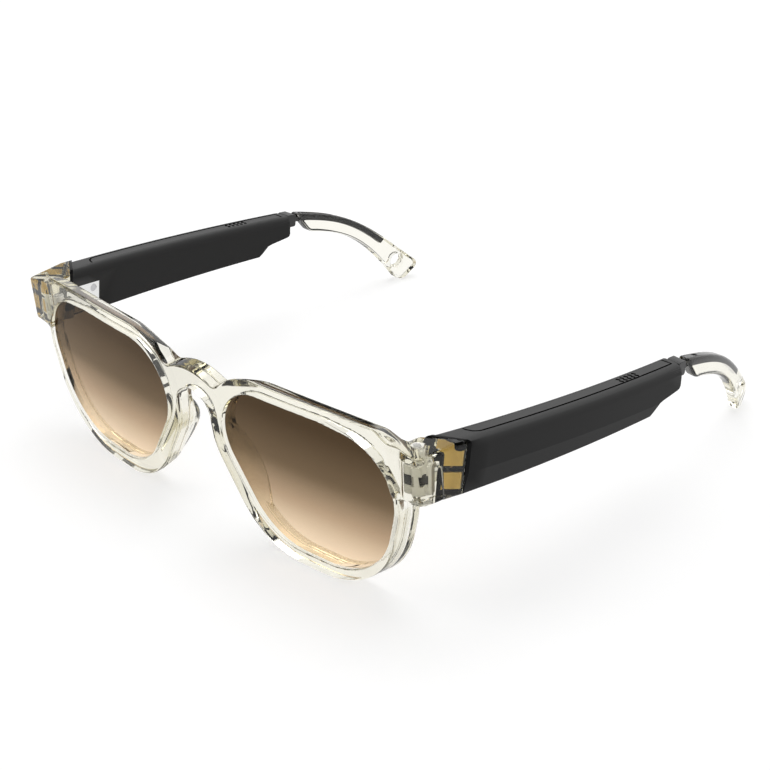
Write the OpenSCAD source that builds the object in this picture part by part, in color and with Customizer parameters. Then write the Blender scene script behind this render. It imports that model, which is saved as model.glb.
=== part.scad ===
// Smart glasses: clear front, tinted lenses, two folding temples that carry the electronics.
// The front looks along -Y, +X is the wearer's left, +Z is up, and the glasses rest on a table.

/* [Front] */
// width of one lens
lens_w = 50.6; // [46:0.2:54]
// height of one lens
lens_h = 38.2; // [35:0.2:42]
// gap between the lenses at the bridge
bridge_w = 20.1; // [18:0.1:23]
// rim width around each lens
rim_w = 3.9; // [3.4:0.1:4.8]
// depth of the front from face to back
rim_depth = 4.8; // [4.4:0.1:5.4]
// radius of the face curve of the front
base_r = 480; // [400:10:640]
// lean of the front, top edge forward
panto = 11.4; // [9:0.2:13]
// thickness of the lenses
lens_t = 2.0; // [1.6:0.1:2.2]
// depth of the lenses behind the face of the front
lens_set = 0.8; // [0.6:0.1:1.4]

/* [Temple] */
// distance between the outer faces of the temples at the joint
joint_w = 139.7; // [136:0.1:146]
// length of the housing behind the joint
arm_l = 74.5; // [72:0.5:82]
// height of the housing at the joint
arm_h = 12.7; // [12.2:0.1:14]
// thickness of the housing
arm_t = 7.0; // [6.8:0.1:8]
// height of the top of the temples above the middle line of the front
arm_top = 22.3; // [21.5:0.1:23]
// wall thickness of the housing
wall = 0.9; // [0.7:0.05:1.1]
// radius of the outward bow of the temples
bow_r = 495; // [420:5:650]
// outward angle of the temples at the joint
splay = 6.5; // [5:0.1:7.5]
// angle of the cut between lug and temple
mitre = 40.6; // [36:0.2:44]

/* [Tip] */
// thickness of the clear tips
tip_t = 3.4; // [3:0.1:4]
// radius of the inward bend of the tips
tip_r = 175; // [140:1:230]
// drop of the tip ends below the top of the housing
tip_drop = 25.8; // [22:0.2:30]
// width of the strap hole
strap_hole = 4.4; // [3.6:0.1:5]

/* [Hinge] */
// diameter of the hinge pin
pin_d = 1.2; // [1:0.05:1.4]
// diameter of the hinge knuckles
knuckle_d = 3.0; // [2.6:0.1:3.2]
// height of the hinge
hinge_h = 7.0; // [6.6:0.1:7.2]

/* [Hidden] */
$fn = 48;
// lens middle, sideways and up, in the plane of the front
lens_x = (bridge_w + lens_w) / 2;
lens_z = 1.55;
// top of rims, bridge top and keyhole middle
rim_top = lens_z + lens_h / 2 + rim_w;
// the rim is a little slimmer on the outer side and below
rim_s = rim_w - 0.35;
bridge_top = rim_top - 4.9;
bridge_arch = 18;
// draw of the brow top, falling to the back
brow_fall = 31;
key_r = bridge_w / 2 - rim_w + 0.05;
key_z = 8.0;
// floor of the housing at the joint, and its rise per mm to the rear
arm_floor = arm_top - arm_h;
rise = 0.038;
// rear step of the housing floor
step_y = arm_l - 11.3;
step_z = arm_floor + rise * step_y;
// first of the sound slots
slot_y = step_y - 9.6;
// joint corner: outer face of lug and housing
joint_x = joint_w / 2;
joint_y = 14;
// half of the gap between lug and temple
gap = 0.15;
cap_t = 0.8;
// pin axis along the cut line, just past the inner face of the temple
pin_m = -arm_t / cos(mitre) - 0.9;
hinge_z = arm_floor + 0.9;
knuckle_h = hinge_h / 3;
// middle of the bend circle of the tip, seen from above
tip_a = asin((arm_l + 3.5) / bow_r);
tip_y = arm_l + 3.5;
tip_x = -bow_r * (1 - cos(tip_a)) - arm_t / 2;
tip_cx = tip_x - tip_r * cos(tip_a);
tip_cy = tip_y - tip_r * sin(tip_a);
// resting pose on a table
rim_low = rim_s + lens_h / 2 - lens_z;
rest_tilt = atan((rim_low * cos(panto) - 1.0 + arm_top - tip_drop) / 129);
rest_lift = 21.3 * (rim_low / 21.65) + 0.23;
rest_back = -68.4;

// Placing

// resting pose: lower rims and tip ends on the table
module rest() {
    translate([0, rest_back, rest_lift])
        rotate([-rest_tilt, 0, 0])
            children();
}

// left side as built, right side mirrored
module side(s) {
    rest()
        if (s > 0) children();
        else mirror([1, 0, 0]) children();
}

// plane of the front: x across, y back, z up along the leaning front
module front_plane() {
    rotate([panto, 0, 0]) children();
}

// temple frame: y runs back along the housing, x = 0 on the outer face
module arm() {
    translate([joint_x, joint_y, 0])
        rotate([0, 0, -splay])
            children();
}

// cut frame: x runs inward (negative) along the cut, y to the rear
module cut_frame() {
    translate([0, -0.2, 0])
        rotate([0, 0, mitre])
            children();
}

// hinge frame: the cut frame turned about the pin so that the pins stand upright on a table
module pin_frame() {
    cut_frame()
        translate([pin_m, 0, hinge_z + hinge_h / 2])
            rotate([0, 0, splay - mitre])
                rotate([rest_tilt, 0, 0])
                    rotate([0, 0, mitre - splay])
                        translate([-pin_m, 0, -hinge_z - hinge_h / 2])
                            children();
}

// Helpers

// flat outline (x, z) drawn out from depth y0 to y1
module drawn(y0, y1) {
    translate([0, y1, 0])
        rotate([90, 0, 0])
            linear_extrude(height = y1 - y0)
                children();
}

// side outline (y, z) drawn out across from x0 to x1
module drawn_side(x0, x1) {
    translate([x0, 0, 0])
        rotate([90, 0, 90])
            linear_extrude(height = x1 - x0)
                children();
}

// layer of the curved front between two depths
module face_layer(d0, d1) {
    difference() {
        translate([0, base_r, -60])
            cylinder(r = base_r - d0, h = 120, $fn = 360);
        translate([0, base_r, -61])
            cylinder(r = base_r - d1, h = 122, $fn = 360);
    }
}

// piece of the bowed temple: x0..x1 across, y0..y1 along, outline in (x, z) as child
module bowed(y0, y1) {
    a0 = asin(y0 / bow_r);
    a1 = asin(y1 / bow_r);
    translate([-bow_r, 0, 0])
        rotate([0, 0, a0])
            rotate_extrude(angle = a1 - a0, $fn = 720)
                translate([bow_r, 0])
                    children();
}

// plain bowed block
module bowed_block(x0, x1, y0, y1, z0, z1) {
    bowed(y0, y1)
        translate([x0, z0])
            square([x1 - x0, z1 - z0]);
}

// everything behind the cut by more than d
module behind_cut(d) {
    cut_frame()
        translate([-60, d, -60])
            cube([120, 200, 160]);
}

// everything in front of the cut
module before_cut(d) {
    cut_frame()
        translate([-60, -100, -60])
            cube([120, 100 + d, 160]);
}

// cylinder on the pin axis
module on_pin(d, z0, z1) {
    pin_frame()
        translate([pin_m, 0, z0])
            cylinder(d = d, h = z1 - z0);
}

// Front outlines

// one lens opening, about its own middle: four circles under one tight line
module lens_shape() {
    scale([lens_w / 50.6, lens_h / 38.2])
        hull($fn = 72) {
            translate([11.0, 4.2]) circle(r = 14.3, $fn = 64);
            translate([-12.3, 5.8]) circle(r = 13.0, $fn = 64);
            translate([5.0, 0]) circle(r = 19.1, $fn = 80);
            translate([-2.1, -0.9]) circle(r = 18.2, $fn = 80);
        }
}

module both_sides() {
    children();
    mirror([1, 0, 0]) children();
}

// outer outline of the front seen square on
module front_shape() {
    difference() {
        offset(r = -1.4, $fn = 24)
            offset(r = 1.4, $fn = 24)
                union() {
                    both_sides() {
                        // rim
                        translate([lens_x - 0.35, lens_z])
                            offset(delta = rim_s) lens_shape();
                        // brow, from the inner rim to the outer corner
                        translate([lens_x - 12.3, rim_top - 14]) circle(r = 13.6);
                        translate([joint_x - 13.8, rim_top - 5.2]) circle(r = 5.2);
                        polygon([
                            [lens_x - 12.3, rim_top - 0.4], [joint_x - 13.8, rim_top],
                            [joint_x - 8.6, rim_top - 5.2], [lens_x + 20, 0], [lens_x - 12.3, 0]
                        ]);
                        // front of the lug
                        translate([joint_x - 14, arm_floor - 0.7])
                            square([13.3, arm_h]);
                    }
                    // bridge
                    intersection() {
                        translate([-bridge_w / 2 - 1, key_z])
                            square([bridge_w + 2, bridge_top - key_z]);
                        translate([0, bridge_top - bridge_arch])
                            circle(r = bridge_arch, $fn = 96);
                    }
                }
        // keyhole of the bridge
        translate([0, key_z]) circle(r = key_r);
        translate([-key_r, key_z - 6]) square([2 * key_r, 6]);
    }
}

// Front

module front_frame() {
    color([0.93, 0.92, 0.88, 0.45])
        rest()
            difference() {
                union() {
                    front_plane()
                        difference() {
                            intersection() {
                                face_layer(0, rim_depth);
                                // side walls draw in a little towards the face
                                translate([0, 10, 2])
                                    rotate([90, 0, 0])
                                        linear_extrude(height = 11, scale = [0.95, 1], slices = 1)
                                            translate([0, -2]) front_shape();
                            }
                            both_sides() {
                                brow_cut(lens_x, 0, 30);
                                brow_cut(lens_x - 14.8, -17, 13);
                                brow_cut(joint_x - 13.2, 24, 30);
                            }
                        }
                    for (s = [1, -1])
                        mirror([s > 0 ? 0 : 1, 0, 0])
                            lug();
                }
                // lens openings and lens grooves
                front_plane()
                    both_sides()
                        translate([lens_x, 0, lens_z])
                            drawn(-5, 20) lens_shape();
                front_plane()
                    intersection() {
                        face_layer(lens_set - 0.05, lens_set + lens_t + 0.05);
                        both_sides()
                            translate([lens_x, 0, lens_z])
                                drawn(-5, 20) offset(delta = 0.85) lens_shape();
                    }
                // pockets for the front leaves and room for the knuckles
                for (s = [1, -1])
                    mirror([s > 0 ? 0 : 1, 0, 0])
                        arm() {
                            pin_frame()
                                translate([-14, -2.6, hinge_z - 0.1])
                                    cube([8.1, 4.5, hinge_h + 0.2]);
                            on_pin(knuckle_d + 0.7, arm_floor - 3, hinge_z + hinge_h + 0.9);
                        }
            }
}

// room above a brow top that falls to the back; it also turns down to one end
module brow_cut(x, turn, inward) {
    translate([x, x * x / (2 * base_r), rim_top])
        rotate([-brow_fall, turn, asin(x / base_r)])
            translate([-inward, -2, 0]) cube([inward + 40, 20, 20]);
}

// deep end of the front that meets the temple
module lug() {
    intersection() {
        arm()
            intersection() {
                // the top falls a little to the face
                drawn_side(-8.4, 0)
                    polygon([
                        [-18, arm_floor], [12, arm_floor], [12, arm_top],
                        [-3, arm_top], [-18, arm_top - 2.2]
                    ]);
                before_cut(-gap);
            }
        front_plane()
            translate([0, base_r, -60])
                cylinder(r = base_r - 0.05, h = 120, $fn = 360);
    }
}

module lens(s) {
    color([0.45, 0.33, 0.22, 0.7])
        side(s)
            front_plane()
                intersection() {
                    face_layer(lens_set, lens_set + lens_t);
                    translate([lens_x, 0, lens_z])
                        drawn(-5, 20) offset(delta = 0.8) lens_shape();
                }
}

// clear pad behind the inner rim, narrow at the top and fuller below
module nose_pad(s) {
    color([0.95, 0.94, 0.9, 0.5])
        side(s)
            front_plane()
                difference() {
                    hull() {
                        translate([bridge_w / 2 - 1.9, rim_depth - 0.6, 6.5]) sphere(r = 1.5, $fn = 24);
                        translate([bridge_w / 2 + 2.3, rim_depth + 2.4, -4.5]) sphere(r = 1.7, $fn = 24);
                        translate([bridge_w / 2 + 4.6, rim_depth + 0.6, -9]) sphere(r = 1.7, $fn = 24);
                        translate([bridge_w / 2 - 0.5, rim_depth + 2.2, 1.5]) sphere(r = 1.6, $fn = 24);
                        translate([bridge_w / 2 + 1.2, rim_depth - 1.2, -5]) sphere(r = 1.2, $fn = 24);
                    }
                    // bonded to the back of the rim
                    translate([0, base_r, -60])
                        difference() {
                            cylinder(r = base_r + 20, h = 120, $fn = 360);
                            translate([0, 0, -1]) cylinder(r = base_r - rim_depth - 0.01, h = 122, $fn = 360);
                        }
                }
}

// Hinge

// metal block set in the lug with two knuckles
module hinge_front_leaf(s) {
    color([0.75, 0.75, 0.76])
        side(s)
            arm()
                difference() {
                    union() {
                        pin_frame()
                            translate([-9.4, -2.5, hinge_z])
                                cube([3.4, 1.95, hinge_h]);
                        pin_frame()
                            translate([pin_m, -knuckle_d / 2, hinge_z])
                                cube([2.2, knuckle_d / 2 - 0.55, hinge_h]);
                        on_pin(knuckle_d, hinge_z, hinge_z + hinge_h);
                    }
                    // slot for the tongue of the temple leaf
                    pin_frame()
                        translate([pin_m - 3, -5, hinge_z + knuckle_h - 0.1])
                            cube([6.1, 10, knuckle_h + 0.2]);
                    on_pin(pin_d + 0.04, hinge_z - 1, hinge_z + hinge_h + 1);
                }
}

// plate let into the temple, with the tongue knuckle
module hinge_temple_leaf(s) {
    color([0.78, 0.78, 0.79])
        side(s)
            arm()
                difference() {
                    union() {
                        bowed_block(-arm_t, -arm_t + 1.15, -3.6, 4.3, hinge_z, hinge_z + hinge_h);
                        // tongue
                        pin_frame()
                            translate([pin_m, 0, hinge_z + knuckle_h])
                                rotate([0, 0, -mitre])
                                    translate([0.02, 0.4, 0]) cube([1.5, 4.2, knuckle_h]);
                        on_pin(knuckle_d, hinge_z + knuckle_h, hinge_z + 2 * knuckle_h);
                    }
                    on_pin(pin_d + 0.1, hinge_z - 1, hinge_z + hinge_h + 1);
                    leaf_screw_set(0.1);
                }
}

module hinge_pin(s) {
    color([0.6, 0.6, 0.62])
        side(s)
            arm() {
                on_pin(pin_d, hinge_z, hinge_z + hinge_h + 0.3);
                on_pin(2.2, hinge_z + hinge_h, hinge_z + hinge_h + 0.5);
            }
}

// two countersunk screws, x across the wall
module leaf_screw_set(more) {
    for (p = [[-1.2, 1.5], [2.3, hinge_h - 1.5]])
        translate([-arm_t - p[0] * p[0] / (2 * bow_r), p[0], hinge_z + p[1]])
            rotate([0, 90, 0]) {
                translate([0, 0, -0.3]) cylinder(d = 1.1 + more, h = 3.1 + more);
                translate([0, 0, 0.02 - more / 2]) cylinder(d1 = 2.0 + more, d2 = 1.1 + more, h = 0.6);
                if (more > 0) translate([0, 0, -0.6]) cylinder(d = 2.0 + more, h = 0.62);
            }
}

module leaf_screws(s) {
    color([0.7, 0.7, 0.72])
        side(s)
            arm()
                difference() {
                    leaf_screw_set(0);
                    // flush with the plate
                    translate([-arm_t - 2.97, -6, 0]) cube([3, 12, 40]);
                }
}

// Temple

// cross outline of the housing: soft top edges, lower outer face drawn in
module housing_section() {
    offset(r = 0.9, $fn = 24)
        offset(delta = -0.9)
            polygon([
                [-arm_t, arm_floor - 3], [-0.95, arm_floor - 3],
                [0, arm_floor + 5], [0, arm_top], [-arm_t, arm_top]
            ]);
}

// side outline of the housing
module housing_side() {
    polygon([
        [-20, arm_top + 1], [-20, arm_floor - 20 * rise],
        [step_y, step_z], [step_y + 1.2, step_z + 0.9], [step_y + 3.2, step_z + 2.7],
        [step_y + 4.6, step_z + 3.1], [arm_l - 1, step_z + 4.15],
        [arm_l - 0.3, step_z + 4.45], [arm_l, step_z + 5.1], [arm_l - 0.4, arm_top + 1]
    ]);
}

// full body of the temple before it is divided
module temple_body() {
    intersection() {
        bowed(-14, arm_l + 4) housing_section();
        drawn_side(-30, 10) housing_side();
    }
}

// recess for the hinge in the inner face
module hinge_recess() {
    bowed_block(-arm_t - 3, -arm_t + 1.17, -12, 4.4, arm_floor - 4, hinge_z + hinge_h + 0.1);
    on_pin(knuckle_d + 0.7, arm_floor - 4, hinge_z + hinge_h + 0.9);
}

module temple_housing(s) {
    color([0.12, 0.12, 0.12])
        side(s)
            arm()
                difference() {
                    intersection() {
                        temple_body();
                        behind_cut(gap + cap_t);
                    }
                    hinge_recess();
                    leaf_screw_set(0.04);
                    // room for the electronics
                    intersection() {
                        bowed_block(-arm_t + wall, -wall - 0.3, 5.6, arm_l - 1.4, 0, arm_top - 1.05);
                        drawn_side(-30, 10)
                            offset(delta = -1.0) housing_side();
                    }
                    // slot for the lid strip
                    lid_body(0.05);
                    // way for the contact flex
                    bowed_block(-4.3, -3.5, -6, 6, arm_floor + 4.5, arm_floor + 7.6);
                    // way for the tip core
                    tip_core_body(0.05);
                    // microphone port
                    translate([-arm_t / 2, 9.5, 0]) cylinder(d = 0.9, h = 14);
                }
}

// inlaid strip with a hidden lip below
module lid_body(more) {
    bowed(6 - more, arm_l - 1.4 + more)
        translate([-arm_t + 1.6 - more, arm_top - 1.1])
            square([2.75 + 2 * more, 1.15]);
    // slanted front end
    translate([-arm_t + 1.6 - more, 3.2 - more, arm_top - 1.1])
        linear_extrude(height = 1.15)
            polygon([[0, 0], [0.9, 0.3], [2.0, 1.1], [2.6, 2.2], [2.72 + 2 * more, 3.0], [0, 3.0]]);
}

module temple_lid(s) {
    color([0.16, 0.16, 0.16])
        side(s)
            arm()
                difference() {
                    intersection() {
                        union() {
                            lid_body(0);
                            bowed_block(-arm_t + 1.1, -arm_t + 4.9, 8, arm_l - 2, arm_top - 1.5, arm_top - 1.05);
                        }
                        translate([-30, -10, 0]) cube([40, 120, arm_top]);
                    }
                    // two rows of slanted sound slots
                    for (i = [0 : 4])
                        for (r = [0, 1])
                            translate([-arm_t + 2.35 + 1.15 * r - pow(slot_y + 1.5 * i, 2) / (2 * bow_r), slot_y + 1.5 * i, 0])
                                rotate([0, 0, 35])
                                    translate([-0.42, -0.24, 0]) cube([0.84, 0.48, 60]);
                }
}

module end_cap(s) {
    color([0.05, 0.05, 0.05])
        side(s)
            arm()
                difference() {
                    intersection() {
                        temple_body();
                        behind_cut(gap);
                        before_cut(gap + cap_t);
                    }
                    hinge_recess();
                    contact_upper_body(0.03);
                    contact_lower_body(0.03);
                    // way for the contact flex
                    bowed_block(-4.3, -3.5, -8, 6, arm_floor + 4.5, arm_floor + 7.6);
                }
}

// flat plate in the face of the cap; m0..m1 from the outer edge
module cap_plate(m0, m1, z0, z1, more) {
    cut_frame()
        translate([-m1 - more, gap - 0.01 * more, z0 - more])
            cube([m1 - m0 + 2 * more, 0.55, z1 - z0 + 2 * more]);
}

// upper contact: one top corner cut away in an arc
module contact_upper_body(more) {
    difference() {
        cap_plate(0.55, 6.7, arm_floor + 6.4, arm_floor + 11.9, more);
        cut_frame()
            translate([-2.0, 0, arm_floor + 13.6])
                rotate([90, 0, 0])
                    cylinder(r = 3.3 - more, h = 8, center = true);
    }
}

module contact_lower_body(more) {
    cap_plate(0.55, 6.7, arm_floor + 1.2, arm_floor + 5.6, more);
}

module contact_upper(s) {
    color([0.83, 0.66, 0.3])
        side(s) arm() contact_upper_body(0);
}

module contact_lower(s) {
    color([0.83, 0.66, 0.3])
        side(s) arm() contact_lower_body(0);
}

// Inside the temple

module battery(s) {
    color([0.55, 0.6, 0.65])
        side(s)
            arm()
                bowed_block(-wall - 3.6, -wall - 0.32, 13, step_y - 17.2, arm_floor + 3.0, arm_top - 1.9);
}

module circuit_board(s) {
    color([0.1, 0.35, 0.2])
        side(s)
            arm() {
                bowed_block(-arm_t + wall + 0.02, -arm_t + wall + 0.72, 8, step_y - 1.8, arm_floor + 3.9, arm_top - 2.0);
                // two chips
                bowed_block(-arm_t + wall + 0.67, -arm_t + wall + 1.5, 14, 20, arm_floor + 5.2, arm_floor + 10);
                bowed_block(-arm_t + wall + 0.67, -arm_t + wall + 1.5, 26, 36, arm_floor + 5.2, arm_floor + 10);
            }
}

module speaker(s) {
    color([0.2, 0.2, 0.22])
        side(s)
            arm()
                difference() {
                    bowed_block(-arm_t + wall + 0.74, -wall - 0.32, slot_y - 4.6, slot_y + 9.4, arm_floor + 4.2, arm_top - 1.85);
                    // mouth of the sound chamber
                    bowed_block(-arm_t + 1.9, -arm_t + 4.1, slot_y - 1.1, slot_y + 7.4, arm_floor + 6, arm_top);
                }
}

module slot_mesh(s) {
    color([0.3, 0.3, 0.3])
        side(s)
            arm()
                bowed_block(-arm_t + 1.7, -arm_t + 4.4, slot_y - 2.1, slot_y + 8.4, arm_top - 1.84, arm_top - 1.52);
}

module microphone(s) {
    color([0.8, 0.78, 0.7])
        side(s)
            arm()
                difference() {
                    bowed_block(-arm_t + 2.0, -1.9, 7.6, 11.4, arm_floor + 1.45, arm_floor + 2.7);
                    translate([-arm_t / 2, 9.5, 0]) cylinder(d = 0.9, h = arm_floor + 2.0);
                }
}

module contact_flex(s) {
    color([0.75, 0.5, 0.2])
        side(s)
            arm()
                difference() {
                    union() {
                        bowed_block(-4.0, -3.8, -4, 9, arm_floor + 4.6, arm_floor + 7.5);
                        bowed_block(-arm_t + wall + 0.72, -3.9, 8.7, 8.95, arm_floor + 4.6, arm_floor + 7.5);
                    }
                    // ends at the backs of the contacts
                    before_cut(gap + 0.58);
                }
}

// Tip

// middle line of the tip seen from the side, t from 0 at the neck to 1 at the end
tip_pts = [
    [tip_y, arm_top - 3.2], [tip_y + 20, arm_top - 5.0],
    [tip_y + 27, arm_top - 8.8], [tip_y + 43, arm_top - tip_drop + 1.4]
];
function tip_mid(t) =
    pow(1 - t, 3) * tip_pts[0] + 3 * t * pow(1 - t, 2) * tip_pts[1]
    + 3 * t * t * (1 - t) * tip_pts[2] + pow(t, 3) * tip_pts[3];
function tip_dir(t) =
    let (d = tip_mid(t + 0.01) - tip_mid(t - 0.01)) d / norm(d);
// half of the tip's height: fuller at the neck, slim in the bend, wide at the end
function tip_half(t) = 2.35 + 0.75 * pow(1 - t, 3) + 1.75 * pow(t, 5);
function tip_top(t) = tip_mid(t) + tip_half(t) * [-tip_dir(t)[1], tip_dir(t)[0]];
function tip_low(t) = tip_mid(t) - tip_half(t) * [-tip_dir(t)[1], tip_dir(t)[0]];

module tip_side() {
    offset(r = 1.4, $fn = 24)
        offset(delta = -1.4)
            polygon(concat(
                [for (i = [0 : 24]) tip_top(i / 24)],
                [for (i = [24 : -1 : 3]) tip_low(i / 24)]
            ));
}

// ring of the tip's bend seen from above
module tip_ring(t) {
    translate([tip_cx, tip_cy, -40])
        difference() {
            cylinder(r = tip_r + t / 2, h = 120, $fn = 360);
            translate([0, 0, -1]) cylinder(r = tip_r - t / 2, h = 122, $fn = 360);
        }
}

module tip_core_side(more) {
    polygon(concat(
        [[arm_l - 4.5, arm_top - 2.9 - more], [arm_l - 4.5, arm_top - 1.6 + more], [tip_y - 1, arm_top - 1.6 + more]],
        [for (i = [2 : 20]) tip_top(i / 27) + tip_half(i / 27) * (-0.2 + more) * [-tip_dir(i / 27)[1], tip_dir(i / 27)[0]]],
        [for (i = [20 : -1 : 2]) tip_top(i / 27) - tip_half(i / 27) * (0.72 + more) * [-tip_dir(i / 27)[1], tip_dir(i / 27)[0]]],
        [[tip_y - 1, arm_top - 2.9 - more]]
    ));
}

// black spine
module tip_core_body(more) {
    intersection() {
        tip_ring(1.6 + 2 * more);
        drawn_side(-60, 10) tip_core_side(more);
    }
}

module tip_core(s) {
    color([0.06, 0.06, 0.06])
        side(s) arm() tip_core_body(0);
}

// sleeve on the neck
module tip_collar(s) {
    color([0.08, 0.08, 0.08])
        side(s)
            arm()
                difference() {
                    intersection() {
                        tip_ring(tip_t + 0.5);
                        drawn_side(-60, 10)
                            offset(r = 0.6, $fn = 24)
                                translate([tip_y - 2.5, arm_top - 3.2])
                                    square([1.9, 2.5]);
                    }
                    tip_core_body(0.03);
                }
}

module temple_tip(s) {
    color([0.92, 0.9, 0.85, 0.5])
        side(s)
            arm()
                difference() {
                    intersection() {
                        tip_ring(tip_t);
                        drawn_side(-60, 10) tip_side();
                    }
                    tip_core_body(0.03);
                    // strap hole, square to the face of the tip
                    translate([tip_cx, tip_cy, tip_mid(0.9)[1]])
                        rotate([0, 0, asin((tip_mid(0.9)[0] - tip_cy) / tip_r)])
                            translate([tip_r - 10, 0, 0])
                                rotate([0, 90, 0]) cylinder(d = strap_hole, h = 20);
                }
}

module lens_left() { lens(1); }
module lens_right() { lens(-1); }
module nose_pad_left() { nose_pad(1); }
module nose_pad_right() { nose_pad(-1); }
module hinge_front_leaf_left() { hinge_front_leaf(1); }
module hinge_front_leaf_right() { hinge_front_leaf(-1); }
module hinge_pin_left() { hinge_pin(1); }
module hinge_pin_right() { hinge_pin(-1); }
module temple_housing_left() { temple_housing(1); }
module temple_housing_right() { temple_housing(-1); }
module temple_lid_left() { temple_lid(1); }
module temple_lid_right() { temple_lid(-1); }
module end_cap_left() { end_cap(1); }
module end_cap_right() { end_cap(-1); }
module contact_upper_left() { contact_upper(1); }
module contact_upper_right() { contact_upper(-1); }
module contact_lower_left() { contact_lower(1); }
module contact_lower_right() { contact_lower(-1); }
module hinge_temple_leaf_left() { hinge_temple_leaf(1); }
module hinge_temple_leaf_right() { hinge_temple_leaf(-1); }
module leaf_screws_left() { leaf_screws(1); }
module leaf_screws_right() { leaf_screws(-1); }
module battery_left() { battery(1); }
module battery_right() { battery(-1); }
module circuit_board_left() { circuit_board(1); }
module circuit_board_right() { circuit_board(-1); }
module speaker_left() { speaker(1); }
module speaker_right() { speaker(-1); }
module slot_mesh_left() { slot_mesh(1); }
module slot_mesh_right() { slot_mesh(-1); }
module microphone_left() { microphone(1); }
module microphone_right() { microphone(-1); }
module contact_flex_left() { contact_flex(1); }
module contact_flex_right() { contact_flex(-1); }
module tip_core_left() { tip_core(1); }
module tip_core_right() { tip_core(-1); }
module tip_collar_left() { tip_collar(1); }
module tip_collar_right() { tip_collar(-1); }
module temple_tip_left() { temple_tip(1); }
module temple_tip_right() { temple_tip(-1); }

front_frame();
lens_left();
lens_right();
nose_pad_left();
nose_pad_right();
hinge_front_leaf_left();
hinge_front_leaf_right();
hinge_pin_left();
hinge_pin_right();
temple_housing_left();
temple_lid_left();
end_cap_left();
contact_upper_left();
contact_lower_left();
hinge_temple_leaf_left();
leaf_screws_left();
battery_left();
circuit_board_left();
speaker_left();
slot_mesh_left();
microphone_left();
contact_flex_left();
tip_core_left();
tip_collar_left();
temple_tip_left();
temple_housing_right();
temple_lid_right();
end_cap_right();
contact_upper_right();
contact_lower_right();
hinge_temple_leaf_right();
leaf_screws_right();
battery_right();
circuit_board_right();
speaker_right();
slot_mesh_right();
microphone_right();
contact_flex_right();
tip_core_right();
tip_collar_right();
temple_tip_right();
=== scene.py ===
import math

import bmesh
import bpy
import numpy as np
from mathutils import Matrix, Vector


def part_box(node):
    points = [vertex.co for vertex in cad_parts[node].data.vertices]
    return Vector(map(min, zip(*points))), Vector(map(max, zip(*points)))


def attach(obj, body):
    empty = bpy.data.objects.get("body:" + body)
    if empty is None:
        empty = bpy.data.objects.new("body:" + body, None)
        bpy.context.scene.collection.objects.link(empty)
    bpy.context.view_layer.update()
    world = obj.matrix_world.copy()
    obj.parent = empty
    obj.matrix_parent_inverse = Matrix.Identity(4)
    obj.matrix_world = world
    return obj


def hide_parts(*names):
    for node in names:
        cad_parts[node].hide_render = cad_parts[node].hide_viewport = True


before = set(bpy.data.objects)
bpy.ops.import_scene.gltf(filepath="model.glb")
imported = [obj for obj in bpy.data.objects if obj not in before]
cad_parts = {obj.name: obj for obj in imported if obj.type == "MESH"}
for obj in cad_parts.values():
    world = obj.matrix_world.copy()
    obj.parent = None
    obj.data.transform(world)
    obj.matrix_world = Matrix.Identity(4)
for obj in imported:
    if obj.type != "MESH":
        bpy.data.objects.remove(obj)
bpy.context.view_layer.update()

scene = bpy.context.scene
scene.view_settings.view_transform = "Standard"

# Room: white paper under two soft lamps, photographed from above the left front corner. Black
# cloths hang behind, out of the picture, and two fields of the paper are painted black only for
# rays that reach them through or off the clear pieces, never for the camera. They are a painted
# dark reflection that gives the clear plastic its drawn edges.
camera_lens, camera_sensor, camera_near = 77.85, 36, 0.01
camera_place = (0.26975, -0.27871, 0.21487)
camera_turn, camera_height, camera_roll = map(math.radians, (44.645, 27.91, -0.871))


def in_scene(name, data):
    """A new object in the scene that holds a mesh, a lamp or a camera."""
    thing = bpy.data.objects.new(name, data)
    scene.collection.objects.link(thing)
    return thing


camera_data = bpy.data.cameras.new("camera")
camera_data.lens = camera_lens
camera_data.sensor_width = camera_sensor
camera_data.clip_start = camera_near
camera = in_scene("camera", camera_data)
scene.camera = camera
camera.matrix_world = (
    Matrix.Translation(camera_place)
    @ Matrix.Rotation(camera_turn, 4, "Z")
    @ Matrix.Rotation(math.pi / 2 - camera_height, 4, "X")
    @ Matrix.Rotation(camera_roll, 4, "Z")
)


def add_node(tree, kind, values=None, **settings):
    """A new node of a tree, with its settings made and values on its inputs."""
    node = tree.nodes.new(kind)
    for setting, value in settings.items():
        setattr(node, setting, value)
    for socket, value in (values or {}).items():
        node.inputs[socket].default_value = value
    return node


def wire(tree, *links):
    """Links in a tree, each from the output of one node to the input of another."""
    for source, output, target, socket in links:
        tree.links.new(source.outputs[output], target.inputs[socket])


def plain_material(name, values):
    """A material, its tree and its shader, with plain values on the shader's own sockets."""
    material = bpy.data.materials.new(name)
    material.use_nodes = True
    face = material.node_tree.nodes["Principled BSDF"]
    for socket, value in values.items():
        face.inputs[socket].default_value = value
    return material, material.node_tree, face


def seen_directly(tree):
    """1 for rays from the camera, a mirror or a clear piece, 0 for the light on the object."""
    path = add_node(tree, "ShaderNodeLightPath")
    mask = path, "Is Camera Ray"
    for other in ("Is Glossy Ray", "Is Transmission Ray"):
        either = add_node(tree, "ShaderNodeMath", operation="MAXIMUM")
        wire(tree, (*mask, either, 0), (path, other, either, 1))
        mask = either, 0
    return mask


afar_blur = 0.04


def seen_from_afar(tree, kind, least):
    """1 for rays of one kind that have come at least a set distance since they left a piece."""
    path = add_node(tree, "ShaderNodeLightPath")
    far = add_node(tree, "ShaderNodeMapRange", {
        "From Min": least * (1 - afar_blur), "From Max": least * (1 + afar_blur),
    })
    both = add_node(tree, "ShaderNodeMath", operation="MULTIPLY")
    wire(tree, (path, "Ray Length", far, "Value"), (far, "Result", both, 0), (path, kind, both, 1))
    return both, 0


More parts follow.
